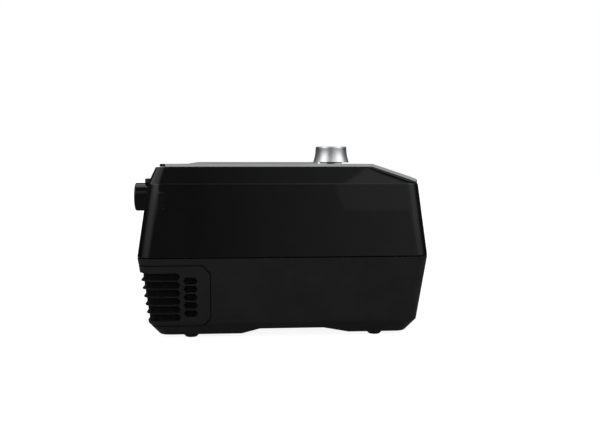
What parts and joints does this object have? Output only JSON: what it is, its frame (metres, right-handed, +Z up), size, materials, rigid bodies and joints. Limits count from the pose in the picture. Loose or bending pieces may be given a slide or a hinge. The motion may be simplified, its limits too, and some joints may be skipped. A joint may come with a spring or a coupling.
{
  "type": "cpap machine",
  "caption": "Bedside breathing-therapy machine with side water-tank drawer, flip lid, control knob, sloping front keys, rear hose outlet and louvred filter cover.",
  "frame": {"origin": "on the surface under the middle of the overall width and depth, hose outlet included", "axes": "+X to the user's right, towards the water tank; +Y to the rear, towards the hose outlet; +Z up; the sloping front with the display faces -Y"},
  "size_m": [0.27, 0.2074, 0.1273],
  "materials": {
    "upper_housing": "polished black moulding, semi-gloss",
    "lower_housing": "fine-grained matt black moulding",
    "top_cover": "piano-black cover plate",
    "tank_panel": "polished black moulding",
    "tank_lid": "piano-black lid",
    "satin_black": "satin black moulding",
    "keys": "satin black key caps",
    "matt_black": "matt black moulding",
    "knob_metal": "turned and satin-polished aluminium",
    "knob_cap": "black inlay disc",
    "display_glass": "dark display window",
    "rubber": "black moulded rubber",
    "steel": "plain steel",
    "aluminium": "bare aluminium",
    "smoke_plastic": "smoke-tinted clear plastic",
    "white_plastic": "natural white moulding",
    "foam": "dark acoustic foam",
    "filter_foam": "grey filter pad",
    "circuit": "green circuit board with plain parts"
  },
  "bodies": {
    "machine": {"upper_housing": "upper_housing", "lower_housing": "lower_housing", "top_cover": "top_cover", "filter_frame": "satin_black", "air_filter": "filter_foam", "foot_front_left": "rubber", "foot_rear_left": "rubber", "foot_front_right": "rubber", "foot_rear_right": "rubber", "housing_screw_1": "steel", "housing_screw_2": "steel", "housing_screw_3": "steel", "housing_screw_4": "steel", "knob_collar": "matt_black", "encoder_body": "satin_black", "encoder_board": "circuit", "display_lens": "display_glass", "display_module": "matt_black", "control_board": "circuit", "air_outlet": "satin_black", "heated_tube_contact": "matt_black", "data_socket": "steel", "power_inlet": "satin_black", "blower_lower_volute": "white_plastic", "blower_upper_volute": "white_plastic", "motor": "aluminium", "blower_mount_1": "rubber", "blower_mount_2": "rubber", "blower_mount_3": "rubber", "blower_duct": "matt_black", "return_duct": "matt_black", "inlet_gasket": "rubber", "outlet_gasket": "rubber", "tank_bay": "satin_black", "heater_plate": "aluminium", "heater_insulator": "white_plastic", "inlet_muffler": "foam", "main_board": "circuit"},
    "push_switch": {"encoder_plunger": "white_plastic"},
    "knob": {"control_knob": "knob_metal", "knob_cap": "knob_cap", "encoder_shaft": "steel"},
    "ramp_button": {"ramp_key": "keys"},
    "home_button": {"home_key": "keys"},
    "start_button": {"start_key": "keys"},
    "filter_door": {"filter_cover": "lower_housing"},
    "port_plug": {"port_cover": "rubber"},
    "rotor": {"impeller": "white_plastic", "motor_shaft": "steel"},
    "water_tank": {"tank_tub": "smoke_plastic", "tank_base_plate": "steel", "tank_front_panel": "tank_panel", "splash_guard": "smoke_plastic", "lid_hinge_pin": "steel"},
    "tank_flap": {"tank_lid": "tank_lid", "lid_seal": "rubber"}
  },
  "joints": [
    {"name": "knob_press", "type": "slide", "parent": "machine", "child": "push_switch", "axis": [0, 0, -1], "range_m": [0, 0.0008], "stiffness_N_per_m": 4000, "springref_m": -0.0005},
    {"name": "knob_turn", "type": "hinge", "parent": "push_switch", "child": "knob", "pos_m": [-0.04, -0.04945, 0.12], "axis": [0, 0, 1], "continuous": true},
    {"name": "ramp_press", "type": "slide", "parent": "machine", "child": "ramp_button", "axis": [0, 0.329, -0.9443], "range_m": [0, 0.0006], "stiffness_N_per_m": 1500, "springref_m": -0.0005},
    {"name": "home_press", "type": "slide", "parent": "machine", "child": "home_button", "axis": [0, 0.329, -0.9443], "range_m": [0, 0.0006], "stiffness_N_per_m": 1500, "springref_m": -0.0005},
    {"name": "start_press", "type": "slide", "parent": "machine", "child": "start_button", "axis": [0, 0.329, -0.9443], "range_m": [0, 0.0006], "stiffness_N_per_m": 1500, "springref_m": -0.0005},
    {"name": "filter_cover_pull", "type": "slide", "parent": "machine", "child": "filter_door", "axis": [0, 1, 0], "range_m": [0, 0.05]},
    {"name": "port_cover_pull", "type": "slide", "parent": "machine", "child": "port_plug", "axis": [-1, 0, 0], "range_m": [0, 0.006]},
    {"name": "impeller_spin", "type": "hinge", "parent": "machine", "child": "rotor", "pos_m": [-0.062, -0.00075, 0.03], "axis": [0, 0, 1], "continuous": true},
    {"name": "tank_slide", "type": "slide", "parent": "machine", "child": "water_tank", "axis": [1, 0, 0], "range_m": [0, 0.12]},
    {"name": "tank_lid_flip", "type": "hinge", "parent": "water_tank", "child": "tank_flap", "pos_m": [0.076, 0.06625, 0.1114], "axis": [-1, 0, 0], "range_deg": [0, 90]}
  ]
}
